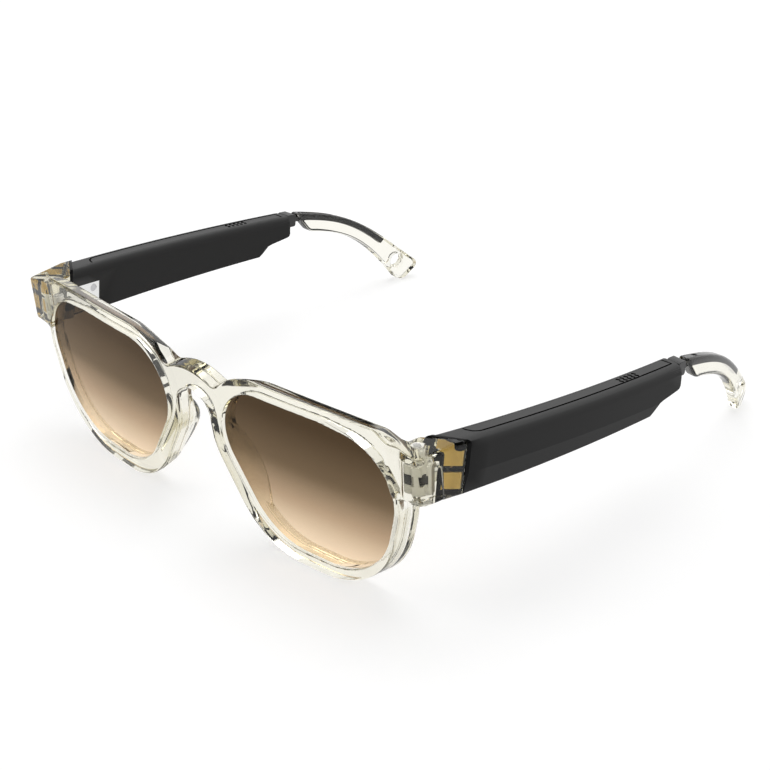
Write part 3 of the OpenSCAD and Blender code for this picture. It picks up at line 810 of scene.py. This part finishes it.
def grain_group():
    """Fine moulded grain: two shades, a roughness and a height."""
    group, entry, leave, shades = finish_group("moulded_grain", "Float")
    where = add_node(group, "ShaderNodeTexCoord")
    grain = add_node(group, "ShaderNodeTexNoise", {"Detail": 5, "Roughness": 0.7})
    broad = add_node(group, "ShaderNodeTexNoise", {"Scale": 60})
    half_broad = add_node(group, "ShaderNodeMath", {1: 0.5}, operation="MULTIPLY")
    both = add_node(group, "ShaderNodeMath", {1: 0.5}, operation="MULTIPLY_ADD")
    wire(
        group, (where, "Object", grain, "Vector"), (where, "Object", broad, "Vector"),
        (entry, "Scale", grain, "Scale"), (broad, "Fac", half_broad, 0), (grain, "Fac", both, 0),
        (half_broad, 0, both, 2), (grain, "Fac", leave, "Height"),
    )
    shades(both, 0)
    return group


def painted_facing_group():
    """Painted light and shade: scales a colour by a side gain and lifts it on faces that look up
    and on those that look down.
    """
    group, entry, leave, _ = new_group(
        "painted_facing_light", "Shader",
        {"Color": "Color", "Side": "Float", "Up": "Float", "Down": "Float"}, {"Color": "Color"},
    )
    here = add_node(group, "ShaderNodeNewGeometry")
    parts = add_node(group, "ShaderNodeSeparateXYZ")
    wire(group, (here, "Normal", parts, "Vector"))
    level = entry, "Side"
    for way, gain in ((1, "Up"), (-1, "Down")):
        side = add_node(group, "ShaderNodeMath", {1: way}, operation="MULTIPLY")
        part = add_node(group, "ShaderNodeMath", {1: 0}, operation="MAXIMUM")
        more = add_node(group, "ShaderNodeMath", operation="MULTIPLY_ADD")
        wire(
            group, (parts, "Z", side, 0), (side, 0, part, 0), (part, 0, more, 0),
            (entry, gain, more, 1), (*level, more, 2),
        )
        level = more, 0
    lift = add_node(group, "ShaderNodeVectorMath", operation="SCALE")
    wire(
        group, (entry, "Color", lift, 0), (*level, lift, "Scale"), (lift, "Vector", leave, "Color"),
    )
    return group


moulded_grain, painted_facing_light = grain_group(), painted_facing_group()
grain_deep = 0.00003


def moulded_material(
    name, light, dark, roughs, scale=4000, gloss=0.3, depth=0.2, metallic=0.0, satin=None
):
    """Moulded or woven stuff with a fine grain; satin gives the gains of painted light and shade on
    the side, up and down.
    """
    material, tree, face = plain_material(name, {"Specular IOR Level": gloss, "Metallic": metallic})
    look = dressed_face(
        tree, face, moulded_grain, (light, dark), roughs, scale, depth, grain_deep
    )
    if satin:
        facing = add_group(tree, painted_facing_light, **satin)
        wire(tree, (look, "Color", facing, "Color"), (facing, "Color", face, "Base Color"))
    return material


# The housing and strip colours carry painted light and shade: darker on the sides, lighter on faces
# that look up and lightest on faces that look down.
housing_black = moulded_material(
    "matt_black", (0.048, 0.048, 0.048), (0.036, 0.036, 0.036), (0.45, 0.6), gloss=0.15,
    satin={"Side": 0.6, "Up": 0.9, "Down": 3.0},
)
lid_black = moulded_material(
    "strip_black", (0.048, 0.048, 0.048), (0.038, 0.038, 0.038), (0.4, 0.55), gloss=0.2,
    satin={"Side": 0.6, "Up": 0.7, "Down": 3.0},
)
bow_radius = 495.0
strip_outer, strip_inner = -2.65, -5.4
top_within, shoulder_from, shoulder_cuts = 0.02, 1.0, 5
drop_outward, drop_inward = 1.9, 1.5
lid_edge, unbroken = 0.1, 0


def round_shoulders(arm):
    """Reshapes a housing: from the strip outward its top falls in a quarter round to each side."""
    to_arm = arm.inverted()

    def reshape(shape):
        level = arm_top - top_within
        top = [f for f in shape.faces if (to_arm @ f.calc_center_median()).z > level]
        edges = list({e for f in top for e in f.edges if e.calc_length() > 1.0 * MM})
        bmesh.ops.subdivide_edges(shape, edges=edges, cuts=shoulder_cuts, use_grid_fill=True)
        bmesh.ops.triangulate(shape, faces=[f for f in shape.faces if len(f.verts) > 4])
        for vertex in shape.verts:
            spot = to_arm @ vertex.co
            if spot.z < arm_top - shoulder_from:
                continue
            across = spot.x + spot.y * spot.y / (2 * bow_radius)
            outward = max(across - strip_outer, 0) / -strip_outer
            inward = max(strip_inner - across, 0) / (arm_thick + strip_inner)
            for way, drop in ((outward, drop_outward), (inward, drop_inward)):
                spot.z -= drop * (1 - math.sqrt(max(1 - min(way, 1) ** 2, 0)))
            vertex.co = arm @ spot

    return reshape


for side_name, arm in arms.items():
    temple = "temple_" + side_name
    finished_copy(
        side_name, "temple_housing", "housing", housing_black, temple, unbroken,
        round_shoulders(arm),
    )
    finished_copy(side_name, "temple_lid", "top_strip", lid_black, temple, lid_edge)

# Seam and slots: a thin matt black cord lies in the gap along the front, the outer side and the
# rear of each strip as painted shadow in the seam, and black blocks fill the two rows of slanted
# sound slots as painted shade in the holes.
cord_start, cord_end, cord_points = 6.4, 73.1, 40
cord_side, cord_inner = -2.62, -5.42
cord_corner = [(-5.42, 3.2), (-4.5, 3.48), (-3.4, 4.28), (-2.8, 5.4)]
cord_radius, cord_sides, cord_sunk = 0.3, 8, 0.18
slot_start, slot_pitch, slot_across, slot_rows_apart = 53.6, 1.5, -4.65, 1.15
slot_count, slot_rows_count, slot_sunk = 5, 2, 0.23
slot_size, slot_slant = (1.05, 0.74, 0.5), math.radians(35)


def cord_group():
    """A round cord along the curve that it gets."""
    group, entry, leave, labels = new_group(
        "seam_shadow_cord", "Geometry",
        {"Path": "Geometry", "Radius": "Float", "Finish": "Material"}, {"Geometry": "Geometry"},
    )
    ring = add_node(group, "GeometryNodeCurvePrimitiveCircle", {"Resolution": cord_sides})
    sweep = add_node(group, "GeometryNodeCurveToMesh", {"Fill Caps": True})
    real = add_node(group, "GeometryNodeRealizeInstances")
    finish = add_node(group, "GeometryNodeSetMaterial")
    wire(
        group, (entry, "Radius", ring, "Radius"), (entry, "Path", sweep, "Curve"),
        (ring, "Curve", sweep, "Profile Curve"), (sweep, "Mesh", real, "Geometry"),
        (real, "Geometry", finish, "Geometry"), (entry, "Finish", finish, "Material"),
        (finish, "Geometry", leave, "Geometry"),
    )
    return group, labels


def slots_group():
    """Slanted slots in rows: one line of points, repeated along a second line."""
    group, entry, leave, labels = new_group(
        "slot_rows", "Geometry", {
            "Start": "Vector", "Count": "Int", "Pitch": "Vector", "Rows": "Int",
            "Row Step": "Vector", "Size": "Vector", "Slant": "Vector", "Finish": "Material",
        }, {"Geometry": "Geometry"},
    )
    row, rows = (add_node(group, "GeometryNodeMeshLine", mode="OFFSET") for _ in range(2))
    spread = add_node(group, "GeometryNodeInstanceOnPoints")
    points = add_node(group, "GeometryNodeRealizeInstances")
    slot = add_node(group, "GeometryNodeMeshCube")
    turn = add_node(group, "FunctionNodeEulerToRotation")
    place = add_node(group, "GeometryNodeInstanceOnPoints")
    real = add_node(group, "GeometryNodeRealizeInstances")
    finish = add_node(group, "GeometryNodeSetMaterial")
    wire(
        group, (entry, "Count", row, "Count"), (entry, "Pitch", row, "Offset"),
        (entry, "Rows", rows, "Count"), (entry, "Row Step", rows, "Offset"),
        (entry, "Start", rows, "Start Location"), (rows, "Mesh", spread, "Points"),
        (row, "Mesh", spread, "Instance"), (spread, "Instances", points, "Geometry"),
        (entry, "Size", slot, "Size"), (entry, "Slant", turn, "Euler"),
        (points, "Geometry", place, "Points"), (slot, "Mesh", place, "Instance"),
        (turn, "Rotation", place, "Rotation"), (place, "Instances", real, "Geometry"),
        (real, "Geometry", finish, "Geometry"), (entry, "Finish", finish, "Material"),
        (finish, "Geometry", leave, "Geometry"),
    )
    return group, labels


def grown(name, data, group_and_labels, values):
    """Runs a geometry group on some data and keeps the result as a plain mesh."""
    group, labels = group_and_labels
    base = in_scene(name + "_base", data)
    growth = base.modifiers.new("growth", "NODES")
    growth.node_group = group
    for label, value in values.items():
        growth[labels[label]] = value
    bpy.context.view_layer.update()
    ready = base.evaluated_get(bpy.context.evaluated_depsgraph_get())
    mesh = bpy.data.meshes.new_from_object(ready)
    mesh.name = name
    mesh.materials.clear()
    mesh.materials.append(values["Finish"])
    mesh.polygons.foreach_set("material_index", [0] * len(mesh.polygons))
    bpy.data.objects.remove(base)
    return mesh


def on_bow(across, turn):
    """A spot on a line that bows along the temple."""
    r = bow_radius + across
    return r * math.cos(turn) - bow_radius, r * math.sin(turn)


# Near black with no gloss: painted shadow for the cord in the seam and painted shade for the blocks
# in the slots.
seam_shadow_black = moulded_material(
    "seam_shadow_black", (0.003, 0.003, 0.003), (0.001, 0.001, 0.001), (0.85, 0.95), gloss=0.0
)
seam_shadow_cord, slot_rows = cord_group(), slots_group()
cord_turns = [math.asin(y / bow_radius) for y in np.linspace(cord_start, cord_end, cord_points)]
cord_path = cord_corner + [on_bow(cord_side, turn) for turn in cord_turns]
cord_path += [on_bow(cord_inner, cord_turns[-1])]
slot_turn = math.asin((slot_start + 2 * slot_pitch) / bow_radius)
slot_first = (slot_across - slot_start ** 2 / (2 * bow_radius), slot_start, arm_top - slot_sunk)
slot_step = (-slot_pitch * math.sin(slot_turn), slot_pitch * math.cos(slot_turn), 0.0)
for side_name, arm in arms.items():
    temple = "temple_" + side_name
    path = bpy.data.curves.new("cord_path", "CURVE")
    path.dimensions = "3D"
    line = path.splines.new("POLY")
    line.points.add(len(cord_path) - 1)
    for point, (x, y) in zip(line.points, cord_path):
        point.co = (x, y, arm_top - cord_sunk, 1)
    # The black cord is painted shadow in the gap of the seam.
    cord = grown("strip_seam_shadow_" + side_name, path, seam_shadow_cord, {
        "Radius": cord_radius, "Finish": seam_shadow_black,
    })
    # The black blocks fill the slots as painted shade in the holes.
    slots = grown("sound_slots_" + side_name, bpy.data.meshes.new("slot_base"), slot_rows, {
        "Start": slot_first, "Count": slot_count, "Pitch": slot_step, "Rows": slot_rows_count,
        "Row Step": (slot_rows_apart, 0.0, 0.0), "Size": slot_size,
        "Slant": (0.0, 0.0, slot_slant), "Finish": seam_shadow_black,
    })
    for mesh in (cord, slots):
        mesh.transform(arm)
        if arm.is_negative:
            mesh.flip_normals()
        piece = in_scene(mesh.name, mesh)
        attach(piece, temple)

# End caps: gloss black covers on the slanted front ends of the housings, each with two flat gold
# plated contacts let in that face the clear lug.
cap_black = moulded_material(
    "gloss_black", (0.005, 0.005, 0.005), (0.002, 0.002, 0.002), (0.1, 0.2), scale=1500, gloss=0.05,
    depth=0.03,
)
contact_gold = metal_material(
    "brushed_gold", (0.88, 0.62, 0.20), (0.72, 0.48, 0.13), (0.3, 0.45), (9000, 9000, 500),
    metallic=0.5,
)
contact_share = 0.88
cap_edge, contact_edge = 0.15, 0.06


def drawn_in_contact(shape):
    """Reshapes a contact: it keeps clear of the edge of its seat."""
    middle = sum((v.co for v in shape.verts), Vector()) / len(shape.verts)
    for vertex in shape.verts:
        vertex.co = middle + (vertex.co - middle) * contact_share


for side_name in sides:
    temple = "temple_" + side_name
    finished_copy(side_name, "end_cap", "slant_cap", cap_black, temple, cap_edge)
    for level in ("upper", "lower"):
        finished_copy(
            side_name, "contact_" + level, level + "_pad", contact_gold, temple,
            contact_edge, drawn_in_contact,
        )

# Works inside the housings: pouch cell, circuit board, speaker with its mesh, microphone and the
# flat cable to the contacts, all fixed in before the strip closes the top.
works = {
    "battery": moulded_material(
        "foil_pouch", (0.62, 0.64, 0.66), (0.48, 0.50, 0.52), (0.25, 0.4), scale=900, gloss=0.5,
        depth=0.3, metallic=0.8,
    ),
    "circuit_board": moulded_material(
        "board_green", (0.03, 0.14, 0.06), (0.015, 0.08, 0.035), (0.3, 0.5), scale=1200
    ),
    "speaker": moulded_material(
        "driver_grey", (0.06, 0.06, 0.065), (0.035, 0.035, 0.04), (0.35, 0.55), scale=1800
    ),
    "slot_mesh": moulded_material(
        "woven_mesh", (0.10, 0.10, 0.10), (0.01, 0.01, 0.01), (0.4, 0.7), scale=9000, gloss=0.4,
        depth=0.6,
    ),
    "microphone": metal_material(
        "mic_can", (0.75, 0.74, 0.72), (0.55, 0.54, 0.52), (0.2, 0.35), (2500, 2500, 2500)
    ),
    "contact_flex": moulded_material(
        "flex_amber", (0.55, 0.26, 0.06), (0.40, 0.18, 0.04), (0.3, 0.5), scale=800
    ),
}
for work, finish in works.items():
    for side_name in sides:
        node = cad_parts[work + "_" + side_name]
        node.data.materials.clear()
        node.data.materials.append(finish)

# Tips: clear plastic cast round a black spine that comes out of the housing, with a small black
# sleeve at the neck. Each bends inward and down behind the ear and ends in a paddle with a hole.
arm_long, neck_past = 74.5, 3.5
tip_thick, tip_bend, tip_drop = 3.4, 175.0, 25.8
strap_hole, hole_along = 4.4, 0.9
half_slim, half_neck, half_end = 2.35, 0.75, 1.75
neck_slant = 3 / 24
end_edge, neck_edge, side_edge, hole_edge, core_edge = 2.6, 1.2, 1.1, 0.5, 0.1
line_points, line_pulls, least_pull = 33, 4, 50.0
neck = arm_long + neck_past
neck_turn = math.asin(neck / bow_radius)
bend_x = -bow_radius * (1 - math.cos(neck_turn)) - arm_thick / 2 - tip_bend * math.cos(neck_turn)
bend_y = neck - tip_bend * math.sin(neck_turn)
tip_poles = np.array([
    (neck, arm_top - 3.2), (neck + 20, arm_top - 5.0), (neck + 27, arm_top - 8.8),
    (neck + 43, arm_top - tip_drop + 1.4),
])


def tip_line(t):
    """Middle line of the tip seen from the side, with its first and second derivative."""
    t = np.asarray(t)[..., None]
    a, b, c, d = tip_poles
    line = (1 - t) ** 3 * a + 3 * t * (1 - t) ** 2 * b + 3 * t * t * (1 - t) * c + t ** 3 * d
    first = 3 * ((1 - t) ** 2 * (b - a) + 2 * t * (1 - t) * (c - b) + t * t * (d - c))
    second = 6 * ((1 - t) * (c - 2 * b + a) + t * (d - 2 * c + b))
    return line, first, second


def tip_half(t):
    """Half of the height: fuller at the neck, slim in the bend, wide at the end."""
    return half_slim + half_neck * (1 - t) ** 3 + half_end * t ** 5


def tip_edge(t, way):
    """A spot on the upper (1) or lower (-1) edge of the tip."""
    point, first, _ = tip_line(t)
    return point + way * tip_half(t) * np.array([-first[1], first[0]]) / np.linalg.norm(first)


def tip_field(x, y, z):
    """Distance from the skin of a clear tip in the frame of its temple."""
    spot = np.stack([y, z], axis=-1)
    table = np.linspace(0, 1, line_points)
    line = tip_line(table)[0]
    t = table[((spot[..., None, :] - line) ** 2).sum(axis=-1).argmin(axis=-1)]
    for _ in range(line_pulls):
        point, first, second = tip_line(t)
        away = point - spot
        pull = (first * first).sum(axis=-1) + (away * second).sum(axis=-1)
        t = np.clip(t - (away * first).sum(axis=-1) / np.maximum(pull, least_pull), 0, 1)
    side = np.linalg.norm(spot - tip_line(t)[0], axis=-1) - tip_half(t)
    end, end_way, _ = tip_line(1.0)
    past_end = (spot - end) @ (end_way / np.linalg.norm(end_way))
    top, low = tip_edge(0.0, 1), tip_edge(neck_slant, -1)
    slant = (low - top) / np.linalg.norm(low - top)
    before_neck = (spot - top) @ np.array([slant[1], -slant[0]])
    side = soft_max(soft_max(side, past_end, end_edge), before_neck, neck_edge)
    ring = np.abs(np.hypot(x - bend_x, y - bend_y) - tip_bend) - tip_thick / 2
    body = soft_max(side, ring, side_edge)
    hole_at = tip_line(hole_along)[0]
    hole_turn = math.asin((hole_at[0] - bend_y) / tip_bend)
    across = -(x - bend_x) * math.sin(hole_turn) + (y - bend_y) * math.cos(hole_turn)
    hole = np.hypot(across, z - hole_at[1]) - strap_hole / 2
    return soft_max(body, -hole, hole_edge)


core_black = moulded_material(
    "spine_black", (0.016, 0.016, 0.016), (0.010, 0.010, 0.010), (0.25, 0.4), scale=2500, gloss=0.5,
    depth=0.1,
)
tip_cell = 0.3
tip_low, tip_high = (-27.0, 76.0, -9.0), (-6.0, 123.5, 23.5)
tip_skin = skin(tip_field, tip_low, tip_high, tip_cell)
for side_name, arm in arms.items():
    temple = "temple_" + side_name
    tip = placed_mesh("clear_tip_" + side_name, *tip_skin, arm)
    tip.data.materials.append(clear_plastic)
    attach(tip, temple)
    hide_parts("temple_tip_" + side_name)
    for node, name in (("tip_core", "spine"), ("tip_collar", "neck_sleeve")):
        finished_copy(side_name, node, name, core_black, temple, core_edge)
